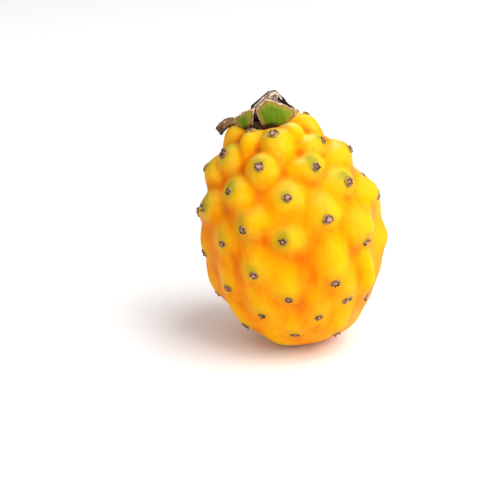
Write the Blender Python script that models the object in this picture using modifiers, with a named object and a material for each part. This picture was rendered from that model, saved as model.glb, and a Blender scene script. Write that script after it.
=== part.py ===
"""Whole yellow dragon fruit, as picked, standing on the small flat spot at its lower end.

The skin is an egg-like body covered in tubercles. They follow the spiral of the real fruit: each is turned
by the divergence angle and set a little lower than the one before. Nearly every tubercle carries a corky
areole. The upper end of the fruit keeps its crown: thick scales round the dried flower tube.

Units are metres and +Z is up. The front of the fruit faces -Y. The fruit leans towards -X.
"""

import math
import random

import bmesh
import bpy
import numpy as np
from mathutils import Matrix, Vector

MM = 0.001

# Driving dimensions of the bare body, under the tubercles.
BODY_RADIUS = 36.3 * MM
BODY_HALF_LENGTH = 51.0 * MM
LEAN = math.radians(12.0)
SHOULDER_FROM = 12.0 * MM
SHOULDER_TAPER = 0.12
FLAT_DEPTH = 0.9 * MM
CENTRE_X = 0.05 * MM
CENTRE_Y = 0.13 * MM

# The spiral that the tubercles follow, counted from the crown down.
TUBERCLES = 63
DIVERGENCE_DEG = 137.875
FIRST_AZIMUTH_DEG = -42.0
FIRST_HEIGHT = 50.8 * MM
HEIGHT_STEP = 1.56 * MM

# The front grew a little closer together than the back.
CROWDING_DEG = 15.0

# Where single tubercles of the front grew beside the spiral: number, azimuth in degrees, height in mm.
WANDERED = {
    0: (-33, 47.3),
    1: (77, 46),
    2: (-75, 47.5),
    3: (5.5, 44.6),
    5: (-56, 40),
    6: (54, 38),
    8: (-13, 36),
    9: (132, 35),
    10: (-80, 34),
    11: (32, 32),
    13: (-39, 29),
    14: (72, 31),
    16: (4, 25),
    18: (-65, 22),
    19: (50, 23),
    21: (-28, 16),
    24: (25, 14),
    27: (79, 11),
    29: (-4, 10),
    32: (48.5, -1),
    35: (101, -4),
    37: (22, -12),
    40: (99, -12),
    45: (31, -23),
    48: (98, -24),
    53: (58, -29),
}

# Tubercles whose swelling sits beside its areole: azimuth in degrees and height in mm of its middle, half width,
# reach up, reach down and rise in mm, roundness.
SHAPED = {
    0: (-33, 44.8, 5.6, 6.5, 9.0, 6.2, 2.2),
    1: (67, 44.8, 5.8, 8.5, 8.5, 7.2, 2.3),
    2: (-82, 46.2, 7.2, 6.5, 8.5, 6.4, 2.3),
    3: (9, 43.0, 8.6, 8.2, 10.2, 7.2, 2.5),
    5: (-56, 40.3, 8.0, 6.0, 7.6, 7.0, 2.2),
    6: (45, 39.2, 7.8, 5.4, 5.8, 7.4, 2.5),
    8: (-13, 36.6, 7.4, 6.6, 8.2, 7.0, 2.5),
    9: (140, 35, 9.0, 8.0, 9.0, 4.6, 2.1),
    10: (-75, 33.8, 7.8, 8.4, 7.6, 6.6, 2.2),
    11: (30, 34.2, 8.8, 4.8, 5.6, 5.8, 2.2),
    13: (-36, 29.0, 7.6, 6.4, 8.0, 6.0, 2.1),
    14: (69, 32.4, 8.8, 6.2, 7.6, 7.4, 2.2),
    16: (2.5, 24.6, 7.4, 7.0, 7.8, 5.2, 1.9),
    18: (-64, 23.6, 7.6, 6.6, 8.2, 5.8, 2.0),
    19: (50, 24.2, 7.8, 6.4, 7.0, 5.8, 1.9),
    21: (-23, 18.2, 7.6, 6.6, 7.6, 5.6, 1.9),
    22: (106, 12.0, 7.6, 5.4, 8.0, 3.6, 1.8),
    23: (-98, 15.5, 7.6, 7.0, 7.5, 3.4, 1.8),
    24: (26, 15.8, 7.8, 7.2, 7.6, 5.6, 1.9),
    27: (76, 14.6, 7.8, 6.6, 8.0, 6.0, 1.9),
    29: (0.4, 10.0, 6.8, 6.6, 7.8, 4.6, 1.8),
    32: (51, 3.6, 8.2, 9.0, 7.6, 5.8, 1.9),
    35: (95, 5.5, 7.4, 6.5, 8.5, 4.0, 1.8),
    37: (24, -5.0, 6.8, 12.0, 9.0, 5.2, 2.0),
    40: (86, -8.5, 7.4, 9.5, 8.0, 3.8, 1.8),
    48: (86, -20.0, 7.4, 11.0, 8.0, 2.8, 1.8),
    53: (51, -18.0, 4.8, 16.0, 8.0, 5.0, 2.0),
}
# Swellings that carry no areole, given in the same way.
LOBES = (
    (37, 44.6, 5.4, 7.0, 7.5, 6.6, 2.4),
    (-122, 45.5, 6.0, 6.5, 7.5, 5.0, 2.4),
)

# Tubercle shape at seven heights: how far it rises, its half width, its reach up and down the fruit,
# how round its top is, how sharp the creases between neighbours are, and how far its middle is below its areole.
LEVELS = np.array([-51, -32, 0, 15, 30, 44, 51]) * MM
RISE = np.array([1.5, 2.8, 4.0, 5.0, 5.6, 6.0, 4.4]) * MM
HALF_WIDTH = np.array([6.4, 7.0, 7.4, 7.6, 7.8, 7.6, 6.5]) * MM
REACH_UP = np.array([10.0, 17.0, 11.0, 8.0, 7.2, 7.0, 6.6]) * MM
REACH_DOWN = np.array([8.0, 10.0, 9.0, 8.5, 8.5, 8.5, 6.0]) * MM
BELOW_AREOLE = np.array([-2.0, -5.0, -3.5, -0.8, 0.4, 1.5, 2.0]) * MM
ROUNDNESS = np.array([1.8, 1.8, 1.8, 1.8, 2.0, 2.4, 2.4])
SHARPNESS = np.array([2.0, 2.0, 2.0, 2.1, 3.4, 7.0, 7.0])
ROOT_REACH = 16.0 * MM
UNLIKE = 0.16
WOBBLE = 0.25 * MM
WOBBLE_LENGTH = 5.5 * MM
SEED = 11

# The pit at each end of the body.
CROWN_PIT_RADIUS = 10.8 * MM
CROWN_PIT_DEPTH = 2.4 * MM
STEM_SCAR_RADIUS = 5.5 * MM
STEM_SCAR_DEPTH = 2.2 * MM

# Areoles: low corky pads on the tubercles.
AREOLE_RADIUS = 2.1 * MM
AREOLE_TOP_RADIUS = 1.3 * MM
AREOLE_HEIGHT = 1.0 * MM
AREOLE_SUNK = 1.1 * MM
AREOLE_SIDES = 7
LOWEST_AREOLE = -42.0 * MM
HIGHEST_AREOLE = 47.4 * MM

# The crown stands on the upper end of the fruit. Places in it are counted from the end of the bare body:
# to the right, to the front and up along the fruit, in mm.
CROWN_LIFT = 0.8 * MM
DISC_RADIUS = 9.4 * MM
DISC_SHIFT = -1.4 * MM
DISC_TOP = 0.6 * MM
DISC_BOTTOM = -7.0 * MM
DISC_SIDES = 24

# Each scale: its foot from end to end, its rim from end to end, and how far it bulges between them.
SCALES = {
    "front_right": (
        ((-1.6, 8.2, -2.4), (2.6, 8.4, -3.6), (6.8, 6.2, -4.4)),
        ((-3.4, 8.0, 6.2), (-0.9, 8.5, 8.4), (1.4, 8.7, 10.3), (7.0, 8.4, 6.9), (12.5, 5.1, 1.7)),
        1.2,
    ),
    "front_left": (
        ((-9.8, 3.6, -3.0), (-6.0, 7.4, -3.0), (-3.0, 8.0, -3.0)),
        ((-13.2, 4.7, 3.8), (-10.4, 7.0, 5.6), (-7.6, 8.2, 6.9), (-4.4, 8.6, 7.6)),
        1.0,
    ),
    "left_flap": (
        ((-9.2, 3.4, -1.6), (-9.4, 0.0, -1.0)),
        ((-20.2, 2.4, -2.0), (-21.9, 0.2, -0.6)),
        3.6,
    ),
    "back_left": (
        ((-9.6, -1.0, -3.0), (-6.6, -7.0, -3.0), (-2.0, -8.6, -3.0)),
        ((-12.6, -2.0, 1.0), (-9.8, -8.4, 2.4), (-3.4, -11.4, 1.6)),
        0.8,
    ),
    "back_right": (
        ((-1.0, -8.8, -3.0), (4.2, -7.4, -3.0), (7.2, -2.0, -3.4), (7.0, 3.0, -3.8)),
        ((-2.2, -11.6, 2.0), (5.0, -10.8, 4.2), (10.2, -6.0, 2.2), (12.6, 2.0, 0.8)),
        0.8,
    ),
}
SCALE_THICKNESS = 1.2 * MM
SCALE_CELLS_ACROSS = 9
SCALE_CELLS_ALONG = 5

# The dried tip in the middle of the crown, from its foot to its top: middle to the right and to the front,
# half width, half depth.
TIP_HEIGHT = np.array([0.9, 3.5, 5.9, 7.6, 9.2, 10.3]) * MM
TIP_ACROSS = np.array([0.9, 1.4, 1.2, 2.3, 3.3, 4.0]) * MM
TIP_FRONT = np.array([-0.8, -1.2, -1.8, -2.3, -2.8, -3.0]) * MM
TIP_HALF_WIDTH = np.array([8.2, 8.2, 7.2, 5.1, 3.0, 1.5]) * MM
TIP_HALF_DEPTH = np.array([6.2, 4.9, 3.5, 2.4, 1.5, 0.9]) * MM
TIP_SIDES = 24
TIP_FOLDS = 5
TIP_FOLD_DEPTH = 0.07

SKIN_CELLS = 26
GAP = 0.3 * MM


def tubercle_places():
    """(azimuth in radians from the front, height on the axis) of every tubercle, from the crown down."""
    places = []
    for number in range(TUBERCLES):
        azimuth = FIRST_AZIMUTH_DEG + DIVERGENCE_DEG * number
        azimuth -= CROWDING_DEG * math.sin(math.radians(azimuth))
        height = FIRST_HEIGHT - HEIGHT_STEP * number
        if number in WANDERED:
            azimuth = WANDERED[number][0]
            height = WANDERED[number][1] * MM
        places.append((math.radians(azimuth), height))
    return places


def swellings():
    """The middle (azimuth, height) of every swelling, its half width, its reaches, its rise and its roundness."""
    draw = random.Random(SEED)
    made = []
    for number, (azimuth, height) in enumerate(tubercle_places()):
        size = draw.uniform(1.0 - UNLIKE, 1.0 + UNLIKE)
        if number in SHAPED:
            continue
        middle = height - float(np.interp(height, LEVELS, BELOW_AREOLE))
        shape = [float(np.interp(height, LEVELS, amounts)) for amounts in (HALF_WIDTH, REACH_UP, REACH_DOWN)]
        rise = size * float(np.interp(height, LEVELS, RISE))
        made.append((azimuth, middle, *shape, rise, float(np.interp(height, LEVELS, ROUNDNESS))))
    for given in (*SHAPED.values(), *LOBES):
        made.append((math.radians(given[0]), *(value * MM for value in given[1:6]), given[6]))
    return made


def on_body(azimuth, height):
    """The point of the bare body at an azimuth and a height on its axis."""
    share = min(max(height / BODY_HALF_LENGTH, -0.999), 0.999)
    radius = BODY_RADIUS * math.sqrt(1.0 - share * share)
    return np.array([radius * math.sin(azimuth), -radius * math.cos(azimuth), share * BODY_HALF_LENGTH])


def body_normal(points):
    """Outward unit normals of the bare body."""
    squares = np.array([BODY_RADIUS, BODY_RADIUS, BODY_HALF_LENGTH]) ** 2
    normals = points / squares
    return normals / np.linalg.norm(normals, axis=-1, keepdims=True)


def seat_frame(centre, azimuth):
    """(east, up, out) unit directions of the skin at a tubercle."""
    out = body_normal(centre)
    east = np.array([math.cos(azimuth), math.sin(azimuth), 0.0])
    return east, np.cross(out, east), out


def smooth_step(low, high, value):
    share = np.clip((value - low) / (high - low), 0.0, 1.0)
    return share * share * (3.0 - 2.0 * share)


def wobble(points):
    """The slow unevenness of a grown body."""
    waves = points / WOBBLE_LENGTH
    return WOBBLE * (
        np.sin(waves[:, 0] * 1.3 + waves[:, 2]) + np.sin(waves[:, 1] * 1.1 - waves[:, 2] * 0.7 + 1.0)
        + np.sin(waves[:, 2] * 1.6 + waves[:, 0] * 0.6 - waves[:, 1] * 0.8)
    )


def relief(points):
    """How far the skin stands above the bare body: a mound on every tubercle, with creases between them."""
    sharpness = np.interp(points[:, 2], LEVELS, SHARPNESS)
    total = np.zeros(len(points))
    for azimuth, height, half_width, reach_up, reach_down, highest, roundness in swellings():
        centre = on_body(azimuth, height)
        east, up, out = seat_frame(centre, azimuth)
        offset = points - centre
        along = offset @ up
        distance = np.sqrt(
            (offset @ east / half_width) ** 2
            + (along / np.where(along > 0.0, reach_up, reach_down)) ** 2
            + (offset @ out / ROOT_REACH) ** 2
        )
        mound = highest * np.exp(-(distance ** roundness))
        total += (mound / MM) ** sharpness
    rise = total ** (1.0 / sharpness) * MM + wobble(points)
    from_axis = np.linalg.norm(points[:, :2], axis=1)
    from_crown = np.linalg.norm(points[:, :2] - (DISC_SHIFT, 0.0), axis=1)
    upper = points[:, 2] > 0.0
    crown_pit = upper * (1.0 - smooth_step(0.6 * CROWN_PIT_RADIUS, CROWN_PIT_RADIUS, from_crown))
    stem_scar = ~upper * (1.0 - smooth_step(0.5 * STEM_SCAR_RADIUS, STEM_SCAR_RADIUS, from_axis))
    rise = rise * (1.0 - crown_pit) - CROWN_PIT_DEPTH * crown_pit
    return rise * (1.0 - stem_scar) - STEM_SCAR_DEPTH * stem_scar


def skin_points(directions, extra=0.0):
    """Points of the skin in the given directions of the stretched unit sphere, raised by extra."""
    bare = directions * np.array([BODY_RADIUS, BODY_RADIUS, BODY_HALF_LENGTH])
    return with_shoulders(bare + body_normal(bare) * (relief(bare) + extra)[:, None])


def with_shoulders(points):
    """Draws the points in towards the fruit's axis near its upper end."""
    share = smooth_step(SHOULDER_FROM, BODY_HALF_LENGTH, points[:, 2])
    narrower = 1.0 - SHOULDER_TAPER * share
    return points * np.stack([narrower, narrower, np.ones(len(points))], axis=1)


def sphere_mesh(cells):
    """A unit sphere of square cells: a gridded cube, spread evenly and blown up round."""
    sphere = bmesh.new()
    bmesh.ops.create_cube(sphere, size=2.0)
    bmesh.ops.subdivide_edges(sphere, edges=sphere.edges[:], cuts=cells - 1, use_grid_fill=True)
    for vertex in sphere.verts:
        spread = Vector(math.tan(side * math.pi / 4.0) for side in vertex.co)
        vertex.co = spread.normalized()
    return sphere


def fruit_matrix():
    """Places the fruit's own axis, which leans, over the ground."""
    lowest = math.hypot(BODY_RADIUS * math.sin(LEAN), BODY_HALF_LENGTH * math.cos(LEAN))
    centre = Vector((CENTRE_X, CENTRE_Y, lowest - FLAT_DEPTH))
    return Matrix.Translation(centre) @ Matrix.Rotation(-LEAN, 4, "Y")


def material(name, colour, roughness):
    made = bpy.data.materials.new(name)
    made.use_nodes = True
    shader = made.node_tree.nodes["Principled BSDF"]
    shader.inputs["Base Color"].default_value = (*colour, 1.0)
    shader.inputs["Roughness"].default_value = roughness
    shader.inputs["Metallic"].default_value = 0.0
    made.diffuse_color = (*colour, 1.0)
    return made


def add_object(name, body, collection, finish=None):
    mesh = bpy.data.meshes.new(name)
    body.to_mesh(mesh)
    body.free()
    made = bpy.data.objects.new(name, mesh)
    collection.objects.link(made)
    if finish:
        mesh.materials.append(finish)
    return made


def skin_body(cells, extra=0.0):
    """The skin as a closed mesh in the world, before the flat spot."""
    body = sphere_mesh(cells)
    directions = np.array([vertex.co for vertex in body.verts])
    for vertex, point in zip(body.verts, skin_points(directions, extra)):
        vertex.co = fruit_matrix() @ Vector(point)
    bmesh.ops.triangulate(body, faces=body.faces[:], quad_method="FIXED")
    return body


def press_flat(body):
    """Cuts the body off at the ground and closes it with one flat face."""
    everything = body.verts[:] + body.edges[:] + body.faces[:]
    cut = bmesh.ops.bisect_plane(
        body, geom=everything, plane_co=(0.0, 0.0, 0.0), plane_no=(0.0, 0.0, 1.0), clear_inner=True
    )
    rim = [part for part in cut["geom_cut"] if isinstance(part, bmesh.types.BMEdge)]
    bmesh.ops.edgeloop_fill(body, edges=rim)
    bmesh.ops.recalc_face_normals(body, faces=body.faces[:])


def areole_pad(extra=0.0):
    """A low cone with its foot sunk below its origin, standing on +Z, made larger all round by the extra."""
    pad = bmesh.new()
    bmesh.ops.create_cone(
        pad,
        cap_ends=True,
        segments=AREOLE_SIDES,
        radius1=AREOLE_RADIUS + extra,
        radius2=AREOLE_TOP_RADIUS + extra,
        depth=AREOLE_SUNK + AREOLE_HEIGHT + extra,
    )
    bmesh.ops.translate(pad, verts=pad.verts, vec=(0.0, 0.0, (AREOLE_HEIGHT + extra - AREOLE_SUNK) / 2.0))
    return pad


def areole_matrices():
    """Where each areole sits on the skin, with +Z pointing out of it and +Y up the fruit."""
    places = []
    for azimuth, height in tubercle_places():
        if not LOWEST_AREOLE < height < HIGHEST_AREOLE:
            continue
        seat = on_body(azimuth, height)
        east, up, out = seat_frame(seat, azimuth)
        seat = with_shoulders(seat[None] + out * relief(seat[None])[0])[0]
        turn = Matrix((east, up, out)).transposed().to_4x4()
        places.append(fruit_matrix() @ Matrix.Translation(Vector(seat)) @ turn)
    return places


def add_areoles(collection, extra=0.0):
    for number, place in enumerate(areole_matrices()):
        pad = areole_pad(extra)
        pad.transform(place)
        add_object(f"areole_{number}", pad, collection)


def crown_matrix():
    """The frame of the crown: its origin is over the upper end of the bare body, its Z the fruit's axis."""
    return fruit_matrix() @ Matrix.Translation((0.0, 0.0, BODY_HALF_LENGTH + CROWN_LIFT))


def along_line(places, share):
    """The point at a share of the way along a line of places given to the right, to the front and up."""
    right, front, up = np.array(places).T * MM
    at = np.linspace(0.0, 1.0, len(places))
    return np.array([np.interp(share, at, right), -np.interp(share, at, front), np.interp(share, at, up)])


def uprightness(scale, across):
    """How upright the scale stands at this place across it: 1 is upright, 0 lies flat."""
    step = along_line(scale[1], across) - along_line(scale[0], across)
    return abs(step[2]) / np.linalg.norm(step)


def scale_point(scale, across, along):
    """A point of a scale's middle sheet: across it from 0 to 1, along it from 0 at the foot to 1 at the rim."""
    foot, rim, bulge = scale
    start = along_line(foot, across)
    point = start + (along_line(rim, across) - start) * along
    outwards = np.array([point[0], point[1], 0.0])
    outwards /= np.linalg.norm(outwards)
    height = np.array([0.0, 0.0, 1.0])
    swell = bulge * MM * 4.0 * along * (1.0 - along)
    upright = uprightness(scale, across)
    return Vector(point + swell * (outwards * upright + height * (1.0 - upright)))


def add_scale(name, scale, collection):
    """One scale: an open sheet between its foot and its rim, thickened both ways."""
    sheet = bmesh.new()
    bmesh.ops.create_grid(sheet, x_segments=SCALE_CELLS_ACROSS, y_segments=SCALE_CELLS_ALONG, size=1.0)
    for vertex in sheet.verts:
        vertex.co = scale_point(scale, (vertex.co.x + 1.0) / 2.0, (vertex.co.y + 1.0) / 2.0)
    sheet.transform(crown_matrix())
    made = add_object(name, sheet, collection)
    wall = made.modifiers.new("wall", "SOLIDIFY")
    wall.thickness = SCALE_THICKNESS
    wall.offset = 0.0
    return made


def crown_disc():
    """The round foot that the scales grow from."""
    disc = bmesh.new()
    bmesh.ops.create_cone(
        disc,
        cap_ends=True,
        segments=DISC_SIDES,
        radius1=DISC_RADIUS,
        radius2=DISC_RADIUS,
        depth=DISC_TOP - DISC_BOTTOM,
    )
    bmesh.ops.translate(disc, verts=disc.verts, vec=(DISC_SHIFT, 0.0, (DISC_TOP + DISC_BOTTOM) / 2.0))
    disc.transform(crown_matrix())
    return disc


def dried_tip():
    """The dried tip: folded oval rings that narrow to a ridge."""
    tip = bmesh.new()
    rings = []
    for height, across, front, half_width, half_depth in zip(
        TIP_HEIGHT, TIP_ACROSS, TIP_FRONT, TIP_HALF_WIDTH, TIP_HALF_DEPTH
    ):
        share = height / TIP_HEIGHT[-1]
        ring = []
        for side in range(TIP_SIDES):
            angle = 2.0 * math.pi * side / TIP_SIDES
            fold = 1.0 + TIP_FOLD_DEPTH * math.sin(TIP_FOLDS * angle + 3.0 * share)
            x = across + half_width * fold * math.cos(angle)
            y = -front + half_depth * fold * math.sin(angle)
            ring.append(tip.verts.new((x, y, height)))
        rings.append(ring)
    for lower, upper in zip(rings, rings[1:]):
        for side in range(TIP_SIDES):
            after = (side + 1) % TIP_SIDES
            tip.faces.new((lower[side], lower[after], upper[after], upper[side]))
    tip.faces.new(reversed(rings[0]))
    tip.faces.new(rings[-1])
    tip.transform(crown_matrix())
    return tip


def combine(target, tools, operation, solver="EXACT"):
    """Joins or cuts the object with everything in the collection of tools, applied, and removes the tools."""
    step = target.modifiers.new(operation.lower(), "BOOLEAN")
    step.operand_type = "COLLECTION"
    step.collection = tools
    step.operation = operation
    step.solver = solver
    evaluated = target.evaluated_get(bpy.context.evaluated_depsgraph_get())
    result = bpy.data.meshes.new_from_object(evaluated)
    target.modifiers.clear()
    old = target.data
    target.data = result
    bpy.data.meshes.remove(old)
    result.name = target.name
    for tool in list(tools.objects):
        bpy.data.objects.remove(tool)
    bpy.data.collections.remove(tools)


def new_collection(name):
    made = bpy.data.collections.new(name)
    bpy.context.scene.collection.children.link(made)
    return made


def clear_scene():
    for thing in list(bpy.data.objects):
        bpy.data.objects.remove(thing)


def build():
    clear_scene()
    parts = new_collection("yellow_dragon_fruit")
    skin = material("skin_yellow", (0.95, 0.48, 0.01), 0.35)
    scale_green = material("scale_green", (0.17, 0.25, 0.02), 0.6)
    dried_brown = material("dried_brown", (0.14, 0.09, 0.06), 0.85)

    body = skin_body(SKIN_CELLS)
    press_flat(body)
    fruit = add_object("fruit_body", body, parts, skin)
    areoles = new_collection("areoles")
    add_areoles(areoles)
    combine(fruit, areoles, "UNION")

    crown = add_object("crown_scales", crown_disc(), parts, scale_green)
    scales = new_collection("scales")
    for name, scale in SCALES.items():
        add_scale(name, scale, scales)
    combine(crown, scales, "UNION")
    clearance = new_collection("clearance")
    add_object("raised_skin", skin_body(SKIN_CELLS, GAP), clearance)
    add_areoles(clearance, 1.5 * GAP)
    combine(crown, clearance, "DIFFERENCE")

    add_object("dried_tip", dried_tip(), parts, dried_brown)


build()
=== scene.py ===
"""Looks of a whole yellow dragon fruit: its knobbly waxy skin, corky areoles with cut spines, and its
green and dried crown. Units are metres, +Z is up, the front of the fruit faces -Y."""

import math
import random

import bmesh
import bpy
import numpy as np
from mathutils import Matrix, Vector, noise
from mathutils.bvhtree import BVHTree

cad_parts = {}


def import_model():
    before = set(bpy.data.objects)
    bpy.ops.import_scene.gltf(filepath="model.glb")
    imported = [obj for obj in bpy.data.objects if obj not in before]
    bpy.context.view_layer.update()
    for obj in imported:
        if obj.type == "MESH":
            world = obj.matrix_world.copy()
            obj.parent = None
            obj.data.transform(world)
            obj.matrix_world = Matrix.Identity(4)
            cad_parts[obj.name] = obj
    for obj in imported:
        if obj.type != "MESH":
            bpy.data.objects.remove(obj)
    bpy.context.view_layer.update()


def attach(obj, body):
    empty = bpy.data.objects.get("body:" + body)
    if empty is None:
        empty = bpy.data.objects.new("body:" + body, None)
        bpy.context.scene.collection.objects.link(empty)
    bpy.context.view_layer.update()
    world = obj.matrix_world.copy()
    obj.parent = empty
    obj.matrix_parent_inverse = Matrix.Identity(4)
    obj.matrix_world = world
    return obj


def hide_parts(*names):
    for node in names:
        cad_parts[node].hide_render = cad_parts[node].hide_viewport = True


MM = 0.001

# The bare body under the tubercles, and how it stands.
BODY_RADIUS = 36.3 * MM
BODY_HALF_LENGTH = 51.0 * MM
LEAN = math.radians(12.0)
SHOULDER_FROM = 12.0 * MM
SHOULDER_TAPER = 0.12
FLAT_DEPTH = 0.9 * MM
CENTRE_X = 0.05 * MM
CENTRE_Y = 0.13 * MM

# The spiral of tubercles, counted from the crown down, and the ones that grew beside it.
TUBERCLES = 63
DIVERGENCE_DEG = 137.875
FIRST_AZIMUTH_DEG = -42.0
FIRST_HEIGHT = 50.8 * MM
HEIGHT_STEP = 1.56 * MM
CROWDING_DEG = 15.0
WANDERED = {
    0: (-33, 47.3),
    1: (77, 46),
    2: (-75, 47.5),
    3: (5.5, 44.6),
    5: (-56, 40),
    6: (54, 38),
    8: (-13, 36),
    9: (132, 35),
    10: (-80, 34),
    11: (32, 32),
    13: (-39, 29),
    14: (72, 31),
    16: (4, 25),
    18: (-65, 22),
    19: (50, 23),
    21: (-28, 16),
    24: (25, 14),
    27: (79, 11),
    29: (-4, 10),
    32: (48.5, -1),
    35: (101, -4),
    37: (22, -12),
    40: (99, -12),
    45: (31, -23),
    48: (98, -24),
    53: (58, -29),
}

# Tubercles whose swelling sits beside its areole: azimuth in degrees and height in mm of its middle, then half
# width, reach up, reach down and rise in mm, and roundness.
SHAPED = {
    0: (-33, 44.8, 5.6, 6.5, 9.0, 6.2, 2.2),
    1: (67, 44.8, 5.8, 8.5, 8.5, 7.2, 2.3),
    2: (-82, 46.2, 7.2, 6.5, 8.5, 6.4, 2.3),
    3: (9, 43.0, 8.6, 8.2, 10.2, 7.2, 2.5),
    5: (-56, 40.3, 8.0, 6.0, 7.6, 7.0, 2.2),
    6: (45, 39.2, 7.8, 5.4, 5.8, 7.4, 2.5),
    8: (-13, 36.6, 7.4, 6.6, 8.2, 7.0, 2.5),
    9: (140, 35, 9.0, 8.0, 9.0, 4.6, 2.1),
    10: (-75, 33.8, 7.8, 8.4, 7.6, 6.6, 2.2),
    11: (30, 34.2, 8.8, 4.8, 5.6, 5.8, 2.2),
    13: (-36, 29.0, 7.6, 6.4, 8.0, 6.0, 2.1),
    14: (69, 32.4, 8.8, 6.2, 7.6, 7.4, 2.2),
    16: (2.5, 24.6, 7.4, 7.0, 7.8, 5.2, 1.9),
    18: (-64, 23.6, 7.6, 6.6, 8.2, 5.8, 2.0),
    19: (50, 24.2, 7.8, 6.4, 7.0, 5.8, 1.9),
    21: (-23, 18.2, 7.6, 6.6, 7.6, 5.6, 1.9),
    22: (106, 12.0, 7.6, 5.4, 8.0, 3.6, 1.8),
    23: (-98, 15.5, 7.6, 7.0, 7.5, 3.4, 1.8),
    24: (26, 15.8, 7.8, 7.2, 7.6, 5.6, 1.9),
    27: (76, 14.6, 7.8, 6.6, 8.0, 6.0, 1.9),
    29: (0.4, 10.0, 6.8, 6.6, 7.8, 4.6, 1.8),
    32: (51, 3.6, 8.2, 9.0, 7.6, 5.8, 1.9),
    35: (95, 5.5, 7.4, 6.5, 8.5, 4.0, 1.8),
    37: (24, -5.0, 6.8, 12.0, 9.0, 5.2, 2.0),
    40: (86, -8.5, 7.4, 9.5, 8.0, 3.8, 1.8),
    48: (86, -20.0, 7.4, 11.0, 8.0, 2.8, 1.8),
    53: (51, -18.0, 4.8, 16.0, 8.0, 5.0, 2.0),
}
# Swellings that carry no areole, given in the same way.
LOBES = (
    (37, 44.6, 5.4, 7.0, 7.5, 6.6, 2.4),
    (-122, 45.5, 6.0, 6.5, 7.5, 5.0, 2.4),
)

# Tubercle shape at seven heights of the body.
LEVELS = np.array([-51, -32, 0, 15, 30, 44, 51]) * MM
RISE = np.array([1.5, 2.8, 4.0, 5.0, 5.6, 6.0, 4.4]) * MM
HALF_WIDTH = np.array([6.4, 7.0, 7.4, 7.6, 7.8, 7.6, 6.5]) * MM
REACH_UP = np.array([10.0, 17.0, 11.0, 8.0, 7.2, 7.0, 6.6]) * MM
REACH_DOWN = np.array([8.0, 10.0, 9.0, 8.5, 8.5, 8.5, 6.0]) * MM
BELOW_AREOLE = np.array([-2.0, -5.0, -3.5, -0.8, 0.4, 1.5, 2.0]) * MM
ROUNDNESS = np.array([1.8, 1.8, 1.8, 1.8, 2.0, 2.4, 2.4])
SHARPNESS = np.array([2.0, 2.0, 2.0, 2.1, 3.4, 7.0, 7.0])
# The same for all of them: how deep a mound reaches into the body, how much they differ in rise, and the slow
# wobble of the skin. Then the hollows at both ends, and how many cells one side of the grown ball has.
ROOT_REACH = 16.0 * MM
UNLIKE = 0.16
WOBBLE = 0.25 * MM
WOBBLE_LENGTH = 5.5 * MM
SEED = 11
CROWN_PIT_RADIUS = 10.8 * MM
CROWN_PIT_DEPTH = 2.4 * MM
STEM_SCAR_RADIUS = 5.5 * MM
STEM_SCAR_DEPTH = 2.2 * MM
SKIN_CELLS = 127
# The value of the pucker's noise, from 0 to 1, that leaves the skin where it is. Most of the noise is lower,
# which keeps the skin inside the solid's box.
PUCKER_MIDDLE = 0.65

# Areoles: their lowest and highest places, how the skin under each one is found and how far round it the slope is
# taken, and how many spine stubs would stand in a full ring.
LOWEST_AREOLE = -42.0 * MM
HIGHEST_AREOLE = 47.4 * MM
AREOLE_RISE = 5.0 * MM
RAY_START = 20.0 * MM
SLOPE_REACH = 2.5 * MM
STUBS_PER_TURN = 6.5

# The crown: scales round a disc, and a dried tip. A scale is a sheet from foot points to rim points (right,
# front, up in mm from the end of the bare body), which swells by the last number.
CROWN_LIFT = 0.8 * MM
DISC_RADIUS = 9.4 * MM
DISC_SHIFT = -1.4 * MM
DISC_TOP = 0.6 * MM
DISC_BOTTOM = -5.0 * MM
SCALES = {
    "front_right": (
        ((-1.6, 8.2, -2.4), (2.6, 8.4, -3.6), (6.8, 6.2, -4.4)),
        ((-3.4, 8.0, 6.2), (-0.9, 8.5, 8.4), (1.4, 8.7, 10.3), (7.0, 8.4, 6.9), (12.5, 5.1, 1.7)),
        1.2,
    ),
    "front_left": (
        ((-9.8, 3.6, -3.0), (-8.4, 6.0, -3.0), (-6.6, 7.4, -3.0)),
        ((-13.2, 4.7, 3.8), (-10.4, 7.0, 5.6), (-7.6, 8.2, 6.9), (-3.8, 8.7, 7.5)),
        1.0,
    ),
    "left_flap": (((-9.2, 3.8, -2.2), (-9.4, -0.4, -0.4)), ((-20.2, 3.0, -2.6), (-21.9, -0.2, -0.2)), 3.2),
    "back_left": (
        ((-9.6, -1.0, -3.0), (-6.6, -7.0, -3.0), (-2.0, -8.6, -3.0)),
        ((-12.6, -2.0, 1.0), (-9.8, -8.4, 2.4), (-3.4, -11.4, 1.6)),
        0.8,
    ),
    "back_right": (
        ((-1.0, -8.8, -3.0), (4.2, -7.4, -3.0), (7.2, -2.0, -3.4), (7.0, 3.0, -3.8)),
        ((-2.2, -11.6, 2.0), (5.0, -10.8, 4.2), (10.2, -6.0, 2.2), (12.6, 2.0, 0.8)),
        0.8,
    ),
}
SCALE_THICKNESS = 1.2 * MM
# Cells across and along a scale, how much it waves and ripples, and how far in from its edge it is thicker.
SCALE_CELLS = (72, 40)
SCALE_WAVE = 0.18 * MM
SCALE_RIPPLE = 0.1 * MM
BEAD_REACH = 0.9 * MM
# The paint of the scales measures from their edges in centimetres.
EDGE_UNIT = 10.0 * MM
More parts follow.
